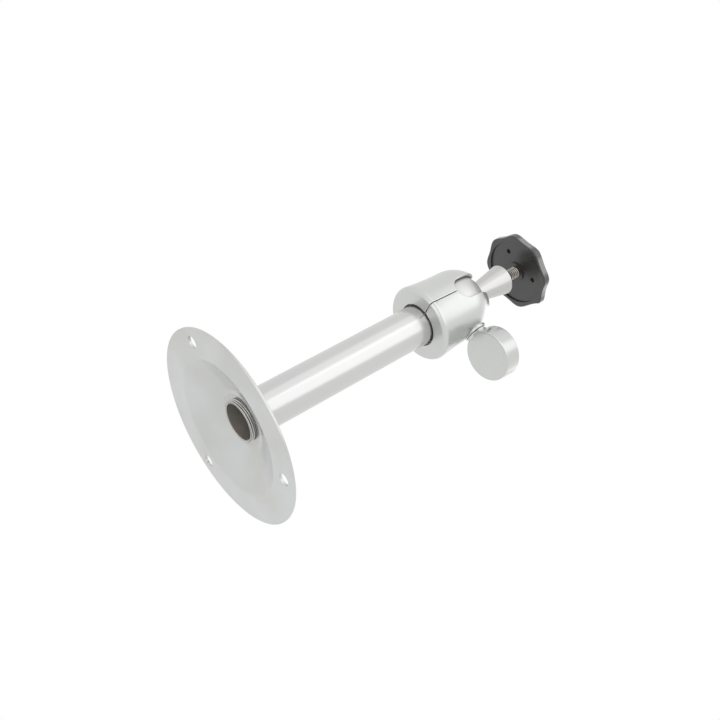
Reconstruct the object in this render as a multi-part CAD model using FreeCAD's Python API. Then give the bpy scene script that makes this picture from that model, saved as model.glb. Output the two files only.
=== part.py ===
import FreeCAD, Part
import math
import os

# Camera bracket: a dished mounting flange, a tube screwed into it, a split head
# with a ball joint and a side clamp screw, and a camera stud with a lock nut.
# Millimetres. The origin is the centre of the flange's mounting plane, and +Z runs
# along the tube towards the camera stud. The head's slot faces -Y and the clamp
# screw points to +X. The two head castings part at the plane x = 0.

# Clearances that fit one piece to the next
running_gap = 0.05
staked_gap = 0.02
end_play = 0.1
easy_gap = 0.35

# How far a cutter runs past the face that it leaves
overrun = 1.0

# Flange: one round dished stamping
flange_radius = 51.2
sheet = 1.4
rim_width = 15.2
dome_rise = 8.8
dome_bow = 0.5
seat_width = 2.2
bend_radius = 2.5
edge_round = 0.35
hole_inset = 7.35
hole_radius = 3.25
hole_count = 3
first_hole_angle = 95.0

# Threaded bush staked into the middle of the flange
bush_wall = 3.05
bush_shoulder_width = 3.2
bush_shoulder_height = 3.5
bush_chamfer = 0.6

# Tube with a threaded lower end
tube_radius = 11.0
tube_wall = 1.3
tube_below_bush = 2.5
thread_depth = 0.55
thread_runout = 1.2
tube_end_chamfer = 0.3

# Swivel collar on the tube's upper end, and the washer it turns on
collar_width = 3.8
collar_height = 3.6
washer_height = 0.8

# Head: two castings round the collar and the ball
head_rear_z = 122.0
rear_wall = 3.2
rear_bore_gap = 1.05
head_wall = 2.1
lip_swell = 1.6
lip_bevel_width = 1.5
lip_bevel_height = 2.7
lip_bevel_bow = 0.34
boss_wall = 3.6
boss_height = 0.6
boss_edge_round = 0.4
parting_gap = 0.3
parting_round = 0.45
socket_web = 2.0
front_opening_gap = 4.6
slot_gap = 0.95
slot_edge_round = 0.4

# Screw that joins the two castings at the back, and the pin that joins them below the slot
screw_radius = 1.5
screw_web = 2.05
screw_floor = 0.9
screw_head_radius = 2.75
screw_head_height = 2.2
screw_socket_radius = 1.25
screw_socket_depth = 1.3
screw_engagement = 8.0
screw_seat_depth = 6.0
screw_land_width = 1.1
pin_reach = 6.0

# Ball with its flared stem
ball_radius = 17.0
stem_root_radius = 4.95
stem_flare = 3.65
stem_length = 37.6
stem_end_round = 0.4

# Camera stud, a quarter inch thread, and how far it is set into the stem
stud_radius = 3.175
stud_in_stem = 13.5
stud_chamfer = 0.5
stud_groove_width = 1.1
stud_groove_depth = 0.78

# Lobed lock nut and its threaded insert
nut_gap = 11.0
nut_thickness = 4.4
nut_mean_radius = 21.4
nut_lobe_height = 0.7
nut_lobes = 8
first_lobe_angle = 8.0
nut_edge_round = 0.9
nut_rim_width = 2.9
nut_recess = 0.9
nut_hub_wall = 1.05
nut_pin_holes = 3
nut_pin_inset = 6.15
nut_pin_radius = 1.4
nut_pin_depth = 1.4
first_pin_angle = 92.0
insert_wall = 1.3
insert_setback = 0.5
stud_free_end = 6.6

# Clamp screw: threaded shank with a thick disc head
shank_radius = 3.0
shank_grip = 9.0
disc_radius = 13.9
disc_thickness = 10.6
disc_gap = 1.1
disc_turn = 7.7
disc_face_round = 0.8
disc_back_round = 0.9
neck_wall = 3.2
neck_length = 3.0
neck_gap = 0.4

# Sizes that follow from the ones above
bush_radius = tube_radius - thread_depth + running_gap + bush_wall
tube_root_radius = tube_radius - thread_depth
tube_bottom_z = dome_rise - tube_below_bush
bush_top_z = dome_rise + sheet + bush_shoulder_height
washer_z = head_rear_z + rear_wall
collar_z = washer_z + washer_height
tube_top_z = collar_z + collar_height
collar_radius = tube_radius + collar_width
pocket_radius = collar_radius + running_gap
pocket_top_z = tube_top_z + end_play
cavity_radius = ball_radius + running_gap
head_radius = cavity_radius + head_wall
head_lip_radius = head_radius + lip_swell
ball_z = pocket_top_z + socket_web + cavity_radius
rear_bore_radius = tube_radius + rear_bore_gap
front_opening_radius = stem_root_radius + front_opening_gap
screw_z = pocket_top_z + screw_floor + screw_head_radius + easy_gap
screw_reach = cavity_radius + screw_web + screw_radius
screw_y = math.sqrt(screw_reach ** 2 - (ball_z - screw_z) ** 2)
stem_end_z = ball_z + stem_length
stem_end_radius = stem_root_radius + stem_flare
stem_slope = stem_flare / (stem_length - ball_radius)
slot_half_width = stem_root_radius + stem_slope * head_wall + slot_gap
stud_bottom_z = stem_end_z - stud_in_stem
nut_z = stem_end_z + nut_gap
nut_top_z = nut_z + nut_thickness
stud_top_z = nut_top_z + stud_free_end
insert_radius = stud_radius + running_gap + insert_wall
boss_face_x = head_radius + boss_height
disc_x = head_radius + disc_gap + disc_radius
shank_end_x = disc_x - disc_radius + shank_grip

ORIGIN = FreeCAD.Vector(0, 0, 0)
ACROSS = FreeCAD.Vector(1, 0, 0)
UP = FreeCAD.Vector(0, 0, 1)
TOWARDS_SLOT = FreeCAD.Vector(0, -1, 0)
BALL_CENTRE = FreeCAD.Vector(0, 0, ball_z)
SAME = 0.001


def section_face(corners):
    """Face in the XZ plane. A corner is (x, z), or (x, z, mid_x, mid_z) to reach it by an arc."""
    edges = []
    last = FreeCAD.Vector(corners[-1][0], 0, corners[-1][1])
    for corner in corners:
        here = FreeCAD.Vector(corner[0], 0, corner[1])
        if len(corner) == 4:
            middle = FreeCAD.Vector(corner[2], 0, corner[3])
            edges.append(Part.Arc(last, middle, here).toShape())
        else:
            edges.append(Part.makeLine(last, here))
        last = here
    return Part.Face(Part.Wire(edges))


def turned(corners):
    """Solid turned about the tube's axis from a section."""
    return section_face(corners).revolve(ORIGIN, UP, 360)


def rod(radius, low_z, high_z):
    """Plain upright cylinder between two heights."""
    return Part.makeCylinder(radius, high_z - low_z, FreeCAD.Vector(0, 0, low_z), UP)


def cross_rod(radius, low_x, high_x, y, z):
    """Plain cylinder along X between two places."""
    return Part.makeCylinder(radius, high_x - low_x, FreeCAD.Vector(low_x, y, z), ACROSS)


def side_rod(side, radius, near, far, y, z):
    """Cylinder along X between two distances from the parting plane, on one side of it."""
    low_x = min(side * near, side * far)
    return cross_rod(radius, low_x, low_x + far - near, y, z)


def on_circle(radius, degrees, z):
    """Point at this radius and angle about the tube's axis."""
    angle = math.radians(degrees)
    return FreeCAD.Vector(radius * math.cos(angle), radius * math.sin(angle), z)


def fillet_where(shape, radius, belongs):
    """Round every edge for which belongs(edge) is true."""
    return shape.makeFillet(radius, [edge for edge in shape.Edges if belongs(edge)])


def is_ring(edge, radius, z):
    """True for a full circle about the tube's axis with this radius and height."""
    if edge.Degenerated or not isinstance(edge.Curve, Part.Circle):
        return False
    return abs(edge.Curve.Radius - radius) < SAME and abs(edge.Curve.Center.z - z) < SAME


def save(node, shape):
    """Write one node, and say how large it is."""
    assert shape.isValid(), node
    shape.exportStep("parts/" + node + ".step")
    box = shape.optimalBoundingBox()
    print(node, "solids", len(shape.Solids), "volume", round(shape.Volume, 1),
          "box", round(box.XLength, 1), round(box.YLength, 1), round(box.ZLength, 1))


def make_flange():
    fold = flange_radius - rim_width
    seat = bush_radius + seat_width
    # The dome's underside is one arc from the fold to the seat.
    foot = FreeCAD.Vector(fold, 0, 0)
    crest = FreeCAD.Vector(seat, 0, dome_rise)
    chord = crest - foot
    bow = FreeCAD.Vector(chord.z, 0, -chord.x).normalize() * dome_bow
    middle = (foot + crest) * 0.5 + bow
    arc = Part.Arc(foot, middle, crest).toShape().Curve
    centre = arc.Center
    outer = arc.Radius + sheet
    top_z = dome_rise + sheet
    top_foot_x = centre.x + math.sqrt(outer ** 2 - (sheet - centre.z) ** 2)
    top_crest_x = centre.x + math.sqrt(outer ** 2 - (top_z - centre.z) ** 2)
    top_middle = centre + (middle - centre).normalize() * outer
    hole = bush_radius + staked_gap
    body = turned([
        (hole, dome_rise),
        (seat, dome_rise),
        (fold, 0, middle.x, middle.z),
        (flange_radius, 0),
        (flange_radius, sheet),
        (top_foot_x, sheet),
        (top_crest_x, top_z, top_middle.x, top_middle.z),
        (hole, top_z),
    ])
    bends = [(fold, 0), (seat, dome_rise), (top_foot_x, sheet), (top_crest_x, top_z)]
    rims = [(flange_radius, 0), (flange_radius, sheet)]
    body = fillet_where(body, bend_radius, lambda edge: any(is_ring(edge, r, z) for r, z in bends))
    body = fillet_where(body, edge_round, lambda edge: any(is_ring(edge, r, z) for r, z in rims))
    for index in range(hole_count):
        place = on_circle(flange_radius - hole_inset, first_hole_angle + 360.0 * index / hole_count, -overrun)
        body = body.cut(Part.makeCylinder(hole_radius, sheet + 2 * overrun, place, UP))
    return body


def make_threaded_bush():
    shoulder = bush_radius + bush_shoulder_width
    bore = tube_root_radius + running_gap
    return turned([
        (bore, dome_rise),
        (bush_radius, dome_rise),
        (bush_radius, dome_rise + sheet),
        (shoulder, dome_rise + sheet),
        (shoulder, bush_top_z - bush_chamfer),
        (shoulder - bush_chamfer, bush_top_z),
        (bore, bush_top_z),
    ])


def make_tube():
    bore = tube_radius - tube_wall
    thread_end_z = bush_top_z + thread_runout
    return turned([
        (bore, tube_bottom_z + tube_end_chamfer),
        (bore + tube_end_chamfer, tube_bottom_z),
        (tube_root_radius, tube_bottom_z),
        (tube_root_radius, thread_end_z),
        (tube_radius, thread_end_z + thread_depth),
        (tube_radius, tube_top_z),
        (bore, tube_top_z),
    ])


def make_swivel_collar():
    ring = rod(collar_radius, collar_z, tube_top_z)
    return ring.cut(rod(tube_radius + staked_gap, collar_z, tube_top_z))


def make_swivel_washer():
    ring = rod(pocket_radius - easy_gap, washer_z, collar_z)
    return ring.cut(rod(rear_bore_radius, washer_z, collar_z))


def head_outline():
    """Outer form of the whole head: bevelled rear lip, slight taper, and dome."""
    lip_z = head_rear_z + lip_bevel_height
    lip_face_radius = head_lip_radius - lip_bevel_width
    bevel_x = head_lip_radius - lip_bevel_width / 2 + lip_bevel_bow
    bevel_z = lip_z - lip_bevel_height / 2 - lip_bevel_bow
    # The taper is an arc that runs upright where the dome begins.
    rise = ball_z - lip_z
    taper_radius = (lip_swell ** 2 + rise ** 2) / (2 * lip_swell)
    taper_x = head_radius + taper_radius - math.sqrt(taper_radius ** 2 - (rise / 2) ** 2)
    diagonal = head_radius * math.sqrt(0.5)
    return [
        (0, head_rear_z),
        (lip_face_radius, head_rear_z),
        (head_lip_radius, lip_z, bevel_x, bevel_z),
        (head_radius, ball_z, taper_x, ball_z - rise / 2),
        (0, ball_z + head_radius, diagonal, ball_z + diagonal),
    ]


def round_parting_edge(half, parting_x):
    """Round the edge all round a half's parting face."""
    def is_parting_edge(edge):
        places = [vertex.Point.x for vertex in edge.Vertexes] + [edge.CenterOfMass.x]
        off_axis = abs(edge.CenterOfMass.y) > parting_round
        return off_axis and all(abs(x - parting_x) < SAME for x in places)

    return fillet_where(half, parting_round, is_parting_edge)


def cut_stem_slot(half):
    """Cut the slot that lets the stem swing down to a right angle, and round its outer edges."""
    end = Part.makeCylinder(slot_half_width, 2 * head_radius, BALL_CENTRE, TOWARDS_SLOT)
    corner = FreeCAD.Vector(-slot_half_width, -2 * head_radius, ball_z)
    channel = Part.makeBox(2 * slot_half_width, 2 * head_radius, 2 * head_radius, corner)
    half = half.cut(end.fuse(channel))

    def is_outer_slot_edge(edge):
        if edge.Degenerated:
            return False
        middle = edge.valueAt((edge.FirstParameter + edge.LastParameter) / 2)
        below = min(middle.z - ball_z, 0)
        on_wall = abs(math.hypot(middle.x, below) - slot_half_width) < SAME and middle.y < 0
        reach = max((middle - BALL_CENTRE).Length, math.hypot(middle.x, middle.y))
        return on_wall and reach > head_radius - slot_edge_round / 2

    return fillet_where(half, slot_edge_round, is_outer_slot_edge)


def make_head_half(side):
    """One casting. side is +1 for the half with the clamp screw and -1 for the other."""
    half = section_face(head_outline()).revolve(ORIGIN, UP, 180)
    half.rotate(ORIGIN, UP, -90 * side)
    half.translate(ACROSS * (side * parting_gap / 2))
    half = round_parting_edge(half, side * parting_gap / 2)
    if side > 0:
        boss = cross_rod(shank_radius + boss_wall, parting_gap, boss_face_x, 0, ball_z)
        boss = fillet_where(boss, boss_edge_round, lambda edge: abs(edge.CenterOfMass.x - boss_face_x) < SAME)
        half = half.fuse(boss)
    half = half.cut(rod(rear_bore_radius, head_rear_z - overrun, washer_z + overrun))
    half = half.cut(rod(pocket_radius, washer_z, pocket_top_z))
    half = half.cut(Part.makeSphere(cavity_radius, BALL_CENTRE))
    half = half.cut(rod(front_opening_radius, ball_z, ball_z + head_radius + overrun))
    half = cut_stem_slot(half)
    # The screw and the pin each pass two small lands that meet and keep the parting gap open.
    for y in (-screw_y, screw_y):
        half = half.fuse(side_rod(side, screw_radius + screw_land_width, 0, parting_gap, y, screw_z))
    bore = screw_radius + (staked_gap if side > 0 else running_gap)
    bore_depth = screw_engagement + overrun if side > 0 else screw_seat_depth + overrun
    half = half.cut(side_rod(side, bore, 0, bore_depth, screw_y, screw_z))
    half = half.cut(side_rod(side, screw_radius + staked_gap, 0, pin_reach + end_play, -screw_y, screw_z))
    if side < 0:
        pocket = screw_head_radius + easy_gap
        half = half.cut(side_rod(side, pocket, screw_seat_depth, 2 * head_radius, screw_y, screw_z))
    if side > 0:
        half = half.cut(cross_rod(shank_radius + running_gap, 0, 2 * head_radius, 0, ball_z))
    return half.removeSplitter()


def make_head_screw():
    """The screw that joins the castings, from the side away from the clamp screw."""
    head_x = -screw_seat_depth - screw_head_height
    body = cross_rod(screw_radius, -screw_seat_depth, screw_engagement, screw_y, screw_z)
    cap = cross_rod(screw_head_radius, head_x, -screw_seat_depth, screw_y, screw_z)
    socket = cross_rod(screw_socket_radius, head_x, head_x + screw_socket_depth, screw_y, screw_z)
    return body.fuse(cap).cut(socket).removeSplitter()


def make_head_pin():
    """The blind pin pressed into both castings, as thick as the screw."""
    return cross_rod(screw_radius, -pin_reach, pin_reach, -screw_y, screw_z)


def make_ball_stem():
    neck_z = ball_z + math.sqrt(ball_radius ** 2 - stem_root_radius ** 2)
    stud_hole = stud_radius + running_gap
    stem = turned([
        (0, ball_z - ball_radius),
        (stem_root_radius, neck_z, ball_radius, ball_z),
        (stem_end_radius, stem_end_z),
        (stud_hole, stem_end_z),
        (stud_hole, stud_bottom_z),
        (0, stud_bottom_z),
    ])
    return fillet_where(stem, stem_end_round, lambda edge: is_ring(edge, stem_end_radius, stem_end_z))


def make_camera_stud():
    stud = rod(stud_radius, stud_bottom_z, stud_top_z)
    ends = [edge for edge in stud.Edges if isinstance(edge.Curve, Part.Circle)]
    stud = stud.makeChamfer(stud_chamfer, ends)
    # The thread is a plain cylinder at its outer radius. One ring groove, as wide and deep as
    # the thread's own, parts the free end beyond the nut from the length that the nut runs on.
    groove_top_z = nut_top_z + stud_groove_width
    ring = rod(stud_radius + overrun, nut_top_z, groove_top_z)
    return stud.cut(ring.cut(rod(stud_radius - stud_groove_depth, nut_top_z, groove_top_z)))


def make_lock_nut_insert():
    low_z = nut_z + insert_setback
    insert = rod(insert_radius, low_z, nut_top_z)
    return insert.cut(rod(stud_radius + running_gap, low_z, nut_top_z))


def make_lock_nut_knob():
    # The outline is a smooth closed curve through each crest and each dip.
    points = []
    for index in range(2 * nut_lobes):
        height = nut_lobe_height if index % 2 == 0 else -nut_lobe_height
        angle = first_lobe_angle + 180.0 * index / nut_lobes
        points.append(on_circle(nut_mean_radius + height, angle, nut_z))
    outline = Part.BSplineCurve()
    outline.interpolate(Points=points, PeriodicFlag=True)
    knob = Part.Face(Part.Wire(outline.toShape())).extrude(UP * nut_thickness)
    knob = fillet_where(knob, nut_edge_round, lambda edge: edge.Length > 4 * nut_mean_radius)
    web_radius = nut_mean_radius - nut_rim_width
    hub_radius = insert_radius + staked_gap + nut_hub_wall
    recess_z = nut_z + nut_recess
    knob = knob.cut(rod(web_radius, nut_z, recess_z).cut(rod(hub_radius, nut_z, recess_z)))
    for index in range(nut_pin_holes):
        place = on_circle(web_radius - nut_pin_inset, first_pin_angle + 360.0 * index / nut_pin_holes, nut_z)
        knob = knob.cut(Part.makeCylinder(nut_pin_radius, nut_recess + nut_pin_depth, place, UP))
    knob = knob.cut(rod(insert_radius + staked_gap, nut_z + insert_setback, nut_top_z))
    return knob.cut(rod(stud_radius + easy_gap, nut_z, nut_top_z))


def make_clamp_screw_shank():
    return cross_rod(shank_radius, ball_radius + running_gap, shank_end_x, 0, ball_z)


def make_clamp_screw_knob():
    # The disc's own axis leans from the tube's by the angle at which the screw came to rest.
    low_z = ball_z - disc_thickness / 2
    high_z = ball_z + disc_thickness / 2
    disc = rod(disc_radius, low_z, high_z)
    disc = fillet_where(disc, disc_face_round, lambda edge: is_ring(edge, disc_radius, low_z))
    disc = fillet_where(disc, disc_back_round, lambda edge: is_ring(edge, disc_radius, high_z))
    disc.translate(ACROSS * disc_x)
    neck = Part.makeCone(shank_radius + neck_wall, disc_thickness / 2 - disc_back_round, neck_length,
                         FreeCAD.Vector(boss_face_x + neck_gap, 0, ball_z), ACROSS)
    knob = disc.fuse(neck).removeSplitter()
    knob.rotate(BALL_CENTRE, ACROSS, -disc_turn)
    return knob.cut(cross_rod(shank_radius + running_gap, 0, shank_end_x, 0, ball_z))


os.makedirs("parts", exist_ok=True)
save("flange", make_flange())
save("threaded_bush", make_threaded_bush())
save("tube", make_tube())
save("swivel_collar", make_swivel_collar())
save("swivel_washer", make_swivel_washer())
save("head_half_screw_side", make_head_half(1))
save("head_half_plain_side", make_head_half(-1))
save("head_screw", make_head_screw())
save("head_pin", make_head_pin())
save("ball_stem", make_ball_stem())
save("camera_stud", make_camera_stud())
save("lock_nut_insert", make_lock_nut_insert())
save("lock_nut_knob", make_lock_nut_knob())
save("clamp_screw_shank", make_clamp_screw_shank())
save("clamp_screw_knob", make_clamp_screw_knob())
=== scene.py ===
import math

import bmesh
import bpy
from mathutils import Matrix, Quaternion, Vector


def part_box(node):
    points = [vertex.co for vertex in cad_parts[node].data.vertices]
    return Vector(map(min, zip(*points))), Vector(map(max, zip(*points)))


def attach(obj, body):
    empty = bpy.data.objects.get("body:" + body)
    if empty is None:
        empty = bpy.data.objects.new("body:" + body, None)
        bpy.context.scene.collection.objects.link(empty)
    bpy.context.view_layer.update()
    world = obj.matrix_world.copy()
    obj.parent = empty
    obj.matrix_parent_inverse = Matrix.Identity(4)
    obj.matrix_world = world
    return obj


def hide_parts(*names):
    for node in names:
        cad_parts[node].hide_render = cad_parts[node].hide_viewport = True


# A camera bracket: flange, tube, split head with a ball joint, clamp screw, stud and
# lock nut. Metres, with the tube along +Z and the head's slot towards -Y.
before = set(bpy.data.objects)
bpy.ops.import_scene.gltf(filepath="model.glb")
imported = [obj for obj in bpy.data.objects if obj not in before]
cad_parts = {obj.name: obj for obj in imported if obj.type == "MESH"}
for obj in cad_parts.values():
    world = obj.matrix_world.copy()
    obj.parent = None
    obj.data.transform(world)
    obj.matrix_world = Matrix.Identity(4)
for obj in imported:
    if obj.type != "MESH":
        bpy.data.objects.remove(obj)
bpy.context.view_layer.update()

MM = 0.001

# Camera, fitted to the outlines in the photo. Lens and sensor are in millimetres.
CAMERA_PLACE = Vector((0.13715, -0.41591, -0.17330))
CAMERA_AIM = Vector((0.00335, -0.00466, 0.07763))
CAMERA_ROLL = math.radians(61.431)
CAMERA_LENS = 49.825
CAMERA_SENSOR = 36.0
CAMERA_NEAREST = 10 * MM

# Lamps: name, azimuth and elevation in degrees, distance, width, and level.
# A lamp of level 1 alone lights a white wall to white.
LAMPS = [
    ("key_lamp", 23.0, 30.0, 0.9, 0.96, 0.19),
    ("fill_lamp", -22.0, 28.0, 1.0, 0.85, 0.055),
    ("low_lamp", 0.0, -40.0, 1.2, 0.9, 0.10),
    ("top_lamp", 150.0, 62.0, 1.1, 0.9, 0.15),
]

# Where the lamps point, near the middle of the bracket
LAMP_AIM = Vector((0, 0, 0.1))

# Level of the light from all round. At 1 it alone lights a white wall to white.
AMBIENT = 0.62

# Floor, and the distances between which it fades out
FLOOR_SIZE = 6.0
FLOOR_NEAR = 0.35
FLOOR_FAR = 1.2

# Places that the frame gives
TUBE_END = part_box("tube")[0].z
TUBE_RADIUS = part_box("tube")[1].x
BUSH_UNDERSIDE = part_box("threaded_bush")[0].z
BUSH_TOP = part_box("threaded_bush")[1].z
BALL_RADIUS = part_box("ball_stem")[1].x
BALL_CENTRE = Vector((0, 0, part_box("ball_stem")[0].z + BALL_RADIUS))

# Where a finish changes on its piece. Radii are from the tube's axis, but the painted shade's is from the
# ball's centre:
# inside it the head is painted dark grey as shade. The nut's corner is how far from its faces its rim
# begins.
BORE_RADIUS = TUBE_RADIUS - 1.0 * MM
RAW_END = BUSH_TOP + 0.5 * MM
PAINTED_SHADE_RADIUS = BALL_RADIUS + 1.0 * MM
CONE_START = BALL_CENTRE.z + BALL_RADIUS - 1.25 * MM
NUT_WEB = 18.45 * MM
NUT_RIM = 19.75 * MM
NUT_DIPS = 21.45 * MM
NUT_CORNER = 0.6 * MM

# Threads, with root and crest as radii. The tube's thread stops a small gap short of the
# tube's outside and of the bush, starts just inside the tube's face, and has its back in
# the tube's wall.
THREAD_GAP = 0.02 * MM
THREAD_INSET = 0.05 * MM
THREAD_BACK = 0.3 * MM
TUBE_CREST = TUBE_RADIUS - THREAD_GAP
TUBE_ROOT = TUBE_CREST - 0.55 * MM
TUBE_PITCH = 1.1 * MM
STUD_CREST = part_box("camera_stud")[1].x
STUD_ROOT = STUD_CREST - 0.555 * MM
STUD_PITCH = 1.27 * MM
STUD_CHAMFER = 0.5 * MM

# How a thread is wound: steps in a turn, and its flat crest and the distance at which
# points are joined as shares of the pitch
THREAD_STEPS = 48
CREST_SHARE = 1 / 8
JOIN_SHARE = 1 / 200

# Shares of a thread's depth, from the root: painted shade darkens the grooves below the first, and a
# painted highlight lightens the crests above the second
GROOVE_SHADE_SHARE = 0.23
CREST_HIGHLIGHT_SHARE = 0.86

# How far a point may lie from a plane and still count as on it
ON_PLANE = 0.001 * MM

# Corners sharper than this stay sharp on a smooth piece
SHARP_ANGLE = math.radians(32)

# Numbers of a Mix node's colour sockets, which share their names with others
MIX_SHARE = 0
MIX_FIRST = 6
MIX_SECOND = 7
MIX_RESULT = 2

# Tints
WHITE = (1.0, 1.0, 1.0)
COOL = (0.985, 1.0, 1.005)
LEAF = (0.985, 1.0, 0.955)
WARM = (1.0, 0.985, 0.955)
BROWN = (1.0, 0.86, 0.72)
DULL = (1.0, 0.95, 0.88)


class Value:
    """An output of a node in a material. Arithmetic on it adds Math nodes."""

    def __init__(self, finish, socket):
        self.finish = finish
        self.socket = socket

    def _math(self, operation, *numbers):
        return self.finish.add("ShaderNodeMath", {"operation": operation}, dict(enumerate(numbers)))

    def __add__(self, other):
        return self._math("ADD", self, other)

    def __radd__(self, other):
        return self._math("ADD", other, self)

    def __sub__(self, other):
        return self._math("SUBTRACT", self, other)

    def __rsub__(self, other):
        return self._math("SUBTRACT", other, self)

    def __mul__(self, other):
        return self._math("MULTIPLY", self, other)

    def __rmul__(self, other):
        return self._math("MULTIPLY", other, self)

    def __pow__(self, other):
        return self._math("POWER", self, other)

    def __abs__(self):
        return self._math("ABSOLUTE", self)

    def at_most(self, limit):
        """The same number, but no higher than the limit."""
        return self._math("MINIMUM", self, limit)


class Finish:
    """A material, or the world's surroundings, while its nodes are put together."""

    def __init__(self, owner):
        self.owner = owner
        owner.use_nodes = True
        self.tree = owner.node_tree
        self.tree.nodes.clear()

    def node(self, kind, settings=None, inputs=None):
        """Make a node: its settings first, then a value or a link for each socket."""
        made = self.tree.nodes.new(kind)
        for name, setting in (settings or {}).items():
            setattr(made, name, setting)
        for key, given in (inputs or {}).items():
            if isinstance(given, Value):
                self.tree.links.new(given.socket, made.inputs[key])
            else:
                made.inputs[key].default_value = given
        return made

    def add(self, kind, settings=None, inputs=None, output=0):
        """Make a node and give one of its outputs."""
        return Value(self, self.node(kind, settings, inputs).outputs[output])

    def place(self):
        """Where a point lies on the object, in metres."""
        return self.add("ShaderNodeTexCoord", output="Object")

    def stretched(self, scale):
        """The place with each axis scaled, for a pattern that runs one way."""
        return self.add("ShaderNodeMapping", inputs={"Vector": self.place(), "Scale": scale})

    def round_axis(self):
        """A point's distance from the tube's axis and its height along it."""
        axes = self.node("ShaderNodeSeparateXYZ", inputs={0: self.place()}).outputs
        x, y, z = [Value(self, socket) for socket in axes]
        return (x * x + y * y) ** 0.5, z

    def noise(self, scale, detail=3.0, place=None):
        """Noise from 0 to 1, with scale features to a metre."""
        inputs = {"Vector": place or self.place(), "Scale": scale, "Detail": detail}
        return self.add("ShaderNodeTexNoise", inputs=inputs)

    def blend(self, share, first, second):
        """Mix two colours."""
        inputs = {MIX_SHARE: share, MIX_FIRST: first, MIX_SECOND: second}
        return self.add("ShaderNodeMix", {"data_type": "RGBA"}, inputs, MIX_RESULT)

    def step(self, value, low, high):
        """0 below low, 1 above high, and smooth between."""
        settings = {"interpolation_type": "SMOOTHSTEP"}
        return self.add("ShaderNodeMapRange", settings, {"Value": value, "From Min": low, "From Max": high})

    def within(self, value, edge, blur):
        """1 below an edge and 0 above it, smooth over the blur on both sides."""
        return 1 - self.step(value, edge - blur, edge + blur)

    def bump(self, height, depth, under=None):
        """A normal from a height between 0 and 1 that stands for depth in metres."""
        inputs = {"Height": height, "Distance": depth}
        if under is not None:
            inputs["Normal"] = under
        return self.add("ShaderNodeBump", inputs=inputs)

    def ray_is(self, *kinds):
        """The number of these kinds that a light ray belongs to."""
        rays = self.node("ShaderNodeLightPath").outputs
        return sum(Value(self, rays[f"Is {kind} Ray"]) for kind in kinds)

    def close(self, shader, kind="ShaderNodeOutputMaterial"):
        """Send a shader to the output."""
        self.node(kind, inputs={"Surface": shader})
        return self.owner

    def coat(self, **inputs):
        """Close a material with its surface. A socket's name is given with underscores."""
        named = {key.replace("_", " "): given for key, given in inputs.items()}
        return self.close(self.add("ShaderNodeBsdfPrincipled", inputs=named))


def grey(level, tint=WHITE):
    """A colour of this brightness, slightly tinted."""
    red, green, blue = tint
    return (level * red, level * green, level * blue, 1.0)


def flange_finish():
    """Stamped steel under a smooth silver coat, with faint drawing marks round the dome."""
    finish = Finish(bpy.data.materials.new("flange_coat"))
    radius, height = finish.round_axis()
    turned = finish.add("ShaderNodeCombineXYZ", inputs={"X": radius, "Y": height})
    patches = finish.step(finish.noise(28.0, detail=2.0), 0.3, 0.7)
    grain = finish.noise(2600.0, detail=2.0)
    rings = finish.noise(900.0, detail=2.0, place=turned)
    colour = finish.blend(patches, grey(0.575, LEAF), grey(0.65, COOL))
    roughness = 0.27 + 0.06 * patches + 0.05 * rings
    normal = finish.bump(0.7 * grain + 0.3 * rings, depth=0.004 * MM)
    return finish.coat(Base_Color=colour, Metallic=0.75, Roughness=roughness, Normal=normal)


def tube_finish():
    """Satin silver tube, with raw steel on its threaded end and a dull brown bore."""
    finish = Finish(bpy.data.materials.new("tube_coat"))
    radius, height = finish.round_axis()
    lines = finish.noise(1.0, place=finish.stretched((2600.0, 2600.0, 45.0)))
    clouds = finish.noise(35.0, detail=2.0)
    grain = finish.noise(3200.0, detail=2.0)
    bore = finish.within(radius, BORE_RADIUS, blur=0.1 * MM)
    bare_steel_and_painted_shade = finish.within(height, RAW_END, blur=0.2 * MM)
    silver = finish.blend(clouds, grey(0.60, COOL), grey(0.645, WARM))
    steel = finish.blend(lines, grey(0.42, WARM), grey(0.62, WARM))
    rust = finish.blend(finish.noise(120.0, detail=4.0), grey(0.48, COOL), grey(0.56, BROWN))
    colour = finish.blend(bore, finish.blend(bare_steel_and_painted_shade, silver, steel), rust)
    roughness = 0.20 + 0.05 * clouds + 0.05 * lines + 0.2 * bore
    normal = finish.bump(0.6 * grain + 0.4 * lines, depth=0.003 * MM)
    return finish.coat(Base_Color=colour, Metallic=0.85, Roughness=roughness, Normal=normal)


def casting_finish(name, level, smoothest, painted_shade_inside):
    """Satin plated zinc casting with a slightly uneven skin, and painted dark grey shade inside, near the
    ball, when asked.
    """
    finish = Finish(bpy.data.materials.new(name))
    skin = finish.noise(170.0)
    grain = finish.noise(2400.0, detail=2.0)
    patches = finish.noise(60.0, detail=2.0)
    colour = finish.blend(patches, grey(level * 0.97, COOL), grey(level * 1.03, LEAF))
    roughness = smoothest + 0.10 * skin
    if painted_shade_inside:
        # Painted shade: inside the head, near the ball, the colour turns dark grey and rougher, standing
        # for the shade in the slot and round the ball.
        points = {0: finish.place(), 1: BALL_CENTRE}
        away = finish.add("ShaderNodeVectorMath", {"operation": "DISTANCE"}, points, "Value")
        bare_steel_and_painted_shade = finish.within(away, PAINTED_SHADE_RADIUS, blur=0.3 * MM)
        colour = finish.blend(bare_steel_and_painted_shade, colour, finish.blend(skin, grey(0.11), grey(0.18, WARM)))
        roughness = roughness + 0.25 * bare_steel_and_painted_shade
    normal = finish.bump(grain, depth=0.0008 * MM, under=finish.bump(skin, depth=0.015 * MM))
    return finish.coat(Base_Color=colour, Metallic=0.9, Roughness=roughness, Normal=normal)


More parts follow.
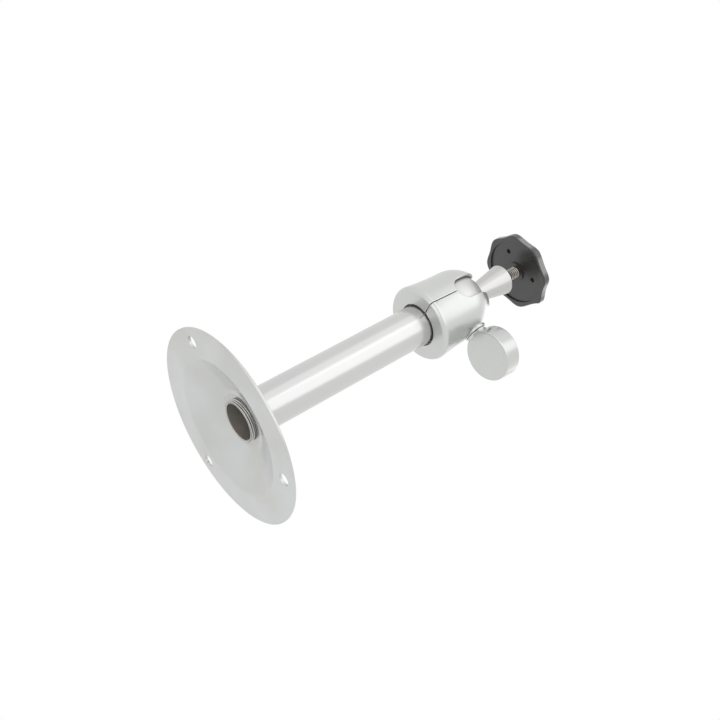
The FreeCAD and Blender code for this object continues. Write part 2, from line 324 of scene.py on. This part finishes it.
def stem_finish():
    """Satin turned steel: fine rings left by the lathe, soft streaks on the cone, and a duller ball."""
    finish = Finish(bpy.data.materials.new("stem_satin"))
    height = finish.round_axis()[1]
    rings = finish.noise(1.0, detail=2.0, place=finish.stretched((18.0, 18.0, 4200.0)))
    streaks = finish.noise(1.0, detail=2.0, place=finish.stretched((420.0, 420.0, 16.0)))
    smears = finish.noise(90.0)
    ball = finish.within(height, CONE_START, blur=1.0 * MM)
    cone_colour = finish.blend(0.5 * smears + 0.5 * streaks, grey(0.50), grey(0.59, WARM))
    ball_colour = finish.blend(smears, grey(0.60, LEAF), grey(0.66))
    colour = finish.blend(ball, cone_colour, ball_colour)
    roughness = 0.27 + 0.08 * smears + 0.03 * rings + 0.14 * ball
    normal = finish.bump(rings, depth=0.0012 * MM, under=finish.bump(smears, depth=0.01 * MM))
    return finish.coat(Base_Color=colour, Metallic=1.0, Roughness=roughness, Normal=normal)


def steel_finish(name, dark, light, tint):
    """Plain plated steel of screws, collar and insert."""
    finish = Finish(bpy.data.materials.new(name))
    stain = finish.noise(420.0, detail=4.0)
    grain = finish.noise(4200.0, detail=2.0)
    colour = finish.blend(stain, grey(dark, tint), grey(light, tint))
    roughness = 0.22 + 0.2 * stain
    normal = finish.bump(grain, depth=0.003 * MM)
    return finish.coat(Base_Color=colour, Metallic=1.0, Roughness=roughness, Normal=normal)


def thread_finish(name, root, crest, groove_shade_level, crest_highlight_level, tint):
    """Steel thread, darker in its grooves as painted shade and lighter on its crests as painted highlight.
    """
    finish = Finish(bpy.data.materials.new(name))
    radius = finish.round_axis()[0]
    depth = crest - root
    # Painted shade in the grooves and painted highlight on the crests, set by radius across the thread's
    # depth.
    crest_highlight_mask = finish.step(radius, root + GROOVE_SHADE_SHARE * depth, root + CREST_HIGHLIGHT_SHARE * depth)
    stain = finish.noise(300.0)
    shaded_groove_colour = finish.blend(stain, grey(groove_shade_level * 0.8, tint), grey(groove_shade_level * 1.2, tint))
    steel = finish.blend(stain, grey(crest_highlight_level * 0.85, tint), grey(crest_highlight_level, tint))
    colour = finish.blend(crest_highlight_mask, shaded_groove_colour, steel)
    roughness = 0.22 + 0.2 * stain
    normal = finish.bump(stain, depth=0.01 * MM)
    return finish.coat(Base_Color=colour, Metallic=1.0, Roughness=roughness, Normal=normal)


def nut_finish():
    """Glossy black moulded plastic with a finely textured web, and a painted grey highlight on its sides
    between the lobes.
    """
    finish = Finish(bpy.data.materials.new("nut_black"))
    radius, height = finish.round_axis()
    low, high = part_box("lock_nut_knob")
    middle = (low.z + high.z) / 2
    side = finish.within(abs(height - middle), high.z - middle - NUT_CORNER, blur=0.3 * MM)
    web = finish.within(radius, NUT_WEB, blur=0.15 * MM)
    rim = side * (1 - finish.within(radius, NUT_RIM, blur=0.25 * MM))
    dip = finish.within(radius, NUT_DIPS, blur=0.35 * MM)
    texture = finish.noise(3000.0)
    smears = finish.noise(120.0)
    # Painted highlight: a lighter grey on the nut's sides, strongest in the dips between the lobes, stands
    # for the sheen that light gives them.
    painted_sheen = rim * (0.20 + 0.80 * dip) * (0.6 + 0.4 * texture)
    black = finish.blend(smears, grey(0.027, WARM), grey(0.050, WARM))
    colour = finish.blend(painted_sheen, black, grey(0.34, COOL))
    roughness = 0.21 + 0.09 * smears + 0.05 * web
    normal = finish.bump(texture * (0.3 + 0.7 * web), depth=0.012 * MM)
    return finish.coat(Base_Color=colour, Roughness=roughness, Normal=normal, Specular_IOR_Level=0.75)


def washer_finish():
    """Pale nylon washer."""
    finish = Finish(bpy.data.materials.new("washer_nylon"))
    clouds = finish.noise(300.0)
    colour = finish.blend(clouds, grey(0.62, WARM), grey(0.72, WARM))
    roughness = 0.5 + 0.1 * clouds
    normal = finish.bump(clouds, depth=0.004 * MM)
    return finish.coat(Base_Color=colour, Roughness=roughness, Normal=normal)


def floor_finish():
    """Pale floor that the camera sees only from above, and that fades out around the object."""
    finish = Finish(bpy.data.materials.new("floor_pale"))
    radius = finish.round_axis()[0]
    underside = finish.add("ShaderNodeNewGeometry", output="Backfacing")
    near = 1 - finish.step(radius, FLOOR_NEAR, FLOOR_FAR)
    seen = finish.ray_is("Camera") * (1 - underside) * near
    clear = finish.add("ShaderNodeBsdfTransparent")
    pale = finish.add("ShaderNodeBsdfDiffuse", inputs={"Color": grey(0.95)})
    return finish.close(finish.add("ShaderNodeMixShader", inputs={0: seen, 1: clear, 2: pale}))


def add_to_scene(name, data):
    """Make an object of a mesh, lamp or camera and put it in the scene."""
    made = bpy.data.objects.new(name, data)
    bpy.context.scene.collection.objects.link(made)
    return made


def stand(name, data, place, turn):
    """Put a lamp or camera in its place, turned as given."""
    made = add_to_scene(name, data)
    made.location = place
    made.rotation_mode = "QUATERNION"
    made.rotation_quaternion = turn
    return made


def make_mesh(name, shape, material):
    """Turn a finished bmesh into a mesh of one material."""
    mesh = bpy.data.meshes.new(name)
    shape.to_mesh(mesh)
    shape.free()
    mesh.materials.append(material)
    return mesh


def make_piece(name, shape, body, material):
    """Turn a finished bmesh into a smooth piece that rides on a body."""
    bmesh.ops.recalc_face_normals(shape, faces=shape.faces)
    mesh = make_mesh(name, shape, material)
    mesh.shade_smooth()
    mesh.set_sharp_from_angle(angle=SHARP_ANGLE)
    piece = add_to_scene(name, mesh)
    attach(piece, body)
    return piece


def screw_surface(shape, root, crest, pitch, low_z, high_z):
    """Wind a thread's profile up the tube's axis, a turn past each end, and cut both ends flat."""
    flat = pitch * CREST_SHARE
    turns = math.ceil((high_z - low_z) / pitch) + 2
    start_z = low_z - pitch
    corners = [(root, 0), (crest, (pitch - flat) / 2), (crest, (pitch + flat) / 2), (root, pitch)]
    verts = [shape.verts.new((radius, 0, start_z + rise)) for radius, rise in corners]
    edges = [shape.edges.new(pair) for pair in zip(verts, verts[1:])]
    bmesh.ops.spin(shape, geom=verts + edges, cent=(0, 0, 0), axis=(0, 0, 1), angle=turns * math.tau,
                   steps=turns * THREAD_STEPS, dvec=(0, 0, pitch / THREAD_STEPS))
    bmesh.ops.remove_doubles(shape, verts=shape.verts, dist=pitch * JOIN_SHARE)
    for z, side in ((low_z, -1), (high_z, 1)):
        bmesh.ops.bisect_plane(shape, geom=shape.verts[:] + shape.edges[:] + shape.faces[:],
                               plane_co=(0, 0, z), plane_no=(0, 0, side), clear_outer=True)


def end_rings(shape, z):
    """The open edges at one height."""
    return [edge for edge in shape.edges
            if edge.is_boundary and all(abs(vert.co.z - z) < ON_PLANE for vert in edge.verts)]


def make_tube_thread(material):
    """Thread on the tube's end, from just inside its face to the flange, closed at the back."""
    low_z = TUBE_END + THREAD_INSET
    high_z = BUSH_UNDERSIDE - THREAD_GAP
    shape = bmesh.new()
    screw_surface(shape, TUBE_ROOT, TUBE_CREST, TUBE_PITCH, low_z, high_z)
    back_rings = []
    for z in (low_z, high_z):
        made = bmesh.ops.extrude_edge_only(shape, edges=end_rings(shape, z))["geom"]
        for item in made:
            if isinstance(item, bmesh.types.BMVert):
                back = Vector((item.co.x, item.co.y, 0)).normalized() * (TUBE_ROOT - THREAD_BACK)
                item.co = (back.x, back.y, z)
        back_rings += [item for item in made if isinstance(item, bmesh.types.BMEdge)]
    bmesh.ops.bridge_loops(shape, edges=back_rings)
    make_piece("tube_thread", shape, "base", material)


def make_stud(material):
    """The whole camera stud with its thread, chamfered at both ends."""
    low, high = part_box("camera_stud")
    shape = bmesh.new()
    screw_surface(shape, STUD_ROOT, STUD_CREST, STUD_PITCH, low.z, high.z)
    for z in (low.z, high.z):
        bmesh.ops.contextual_create(shape, geom=end_rings(shape, z))
    for vert in shape.verts:
        depth = min(vert.co.z - low.z, high.z - vert.co.z)
        most = STUD_CREST - max(STUD_CHAMFER - depth, 0)
        radius = math.hypot(vert.co.x, vert.co.y)
        if radius > most:
            vert.co.x *= most / radius
            vert.co.y *= most / radius
    piece = make_piece("stud_thread", shape, "stud", material)
    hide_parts("camera_stud")


def make_floor():
    """Flat floor that the flange stands on. It isn't part of the object."""
    shape = bmesh.new()
    bmesh.ops.create_grid(shape, x_segments=1, y_segments=1, size=FLOOR_SIZE / 2)
    floor = add_to_scene("floor", make_mesh("floor", shape, floor_finish()))


def direction(azimuth, elevation):
    """Unit vector from the object towards a place round it. Azimuth 0 is -Y and 90 is +X."""
    turn = math.radians(azimuth)
    rise = math.radians(elevation)
    return Vector((math.sin(turn) * math.cos(rise), -math.cos(turn) * math.cos(rise), math.sin(rise)))


def add_lamp(name, azimuth, elevation, distance, width, level):
    """A round lamp that faces the object."""
    light = bpy.data.lights.new(name, "AREA")
    light.shape = "DISK"
    light.size = width
    light.energy = level * (math.pi * distance) ** 2
    towards = direction(azimuth, elevation)
    stand(name, light, LAMP_AIM + towards * distance, (-towards).to_track_quat("-Z", "Y"))


def add_camera():
    """The camera, rolled about its own line of sight."""
    data = bpy.data.cameras.new("camera")
    data.lens = CAMERA_LENS
    data.sensor_width = CAMERA_SENSOR
    data.clip_start = CAMERA_NEAREST
    level_view = (CAMERA_AIM - CAMERA_PLACE).to_track_quat("-Z", "Y")
    turn = level_view @ Quaternion((0, 0, 1), CAMERA_ROLL)
    bpy.context.scene.camera = stand("camera", data, CAMERA_PLACE, turn)


def set_surroundings():
    """A white room as the camera and the metal see it, and softer light from all round."""
    world = bpy.data.worlds.new("white_room")
    bpy.context.scene.world = world
    finish = Finish(world)
    seen = finish.ray_is("Camera", "Glossy", "Transmission").at_most(1.0)
    strength = AMBIENT + (1 - AMBIENT) * seen
    room = finish.add("ShaderNodeBackground", inputs={"Color": grey(1.0), "Strength": strength})
    finish.close(room, "ShaderNodeOutputWorld")
    bpy.context.scene.view_settings.view_transform = "Standard"


add_camera()
set_surroundings()
for lamp in LAMPS:
    add_lamp(*lamp)
make_floor()

# Finishes of the CAD pieces that show as they are
tube_coat = tube_finish()
head_casting = casting_finish("head_casting", level=0.62, smoothest=0.27, painted_shade_inside=True)
screw_steel = steel_finish("screw_steel", dark=0.30, light=0.48, tint=WARM)
finishes = {
    "flange": flange_finish(),
    "threaded_bush": tube_coat,
    "tube": tube_coat,
    "swivel_collar": steel_finish("collar_steel", dark=0.45, light=0.66, tint=WARM),
    "swivel_washer": washer_finish(),
    "head_half_screw_side": head_casting,
    "head_half_plain_side": head_casting,
    "head_screw": screw_steel,
    "head_pin": screw_steel,
    "ball_stem": stem_finish(),
    "lock_nut_insert": steel_finish("insert_steel", dark=0.24, light=0.46, tint=DULL),
    "lock_nut_knob": nut_finish(),
    "clamp_screw_shank": screw_steel,
    "clamp_screw_knob": casting_finish("knob_casting", level=0.605, smoothest=0.18, painted_shade_inside=False),
}
for node, material in finishes.items():
    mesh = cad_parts[node].data
    mesh.materials.clear()
    mesh.materials.append(material)

# Threads, which are plain cylinders in the CAD model
make_tube_thread(thread_finish("thread_steel", TUBE_ROOT, TUBE_CREST, groove_shade_level=0.16, crest_highlight_level=0.72, tint=WARM))
make_stud(thread_finish("stud_steel", STUD_ROOT, STUD_CREST, groove_shade_level=0.05, crest_highlight_level=0.56, tint=DULL))
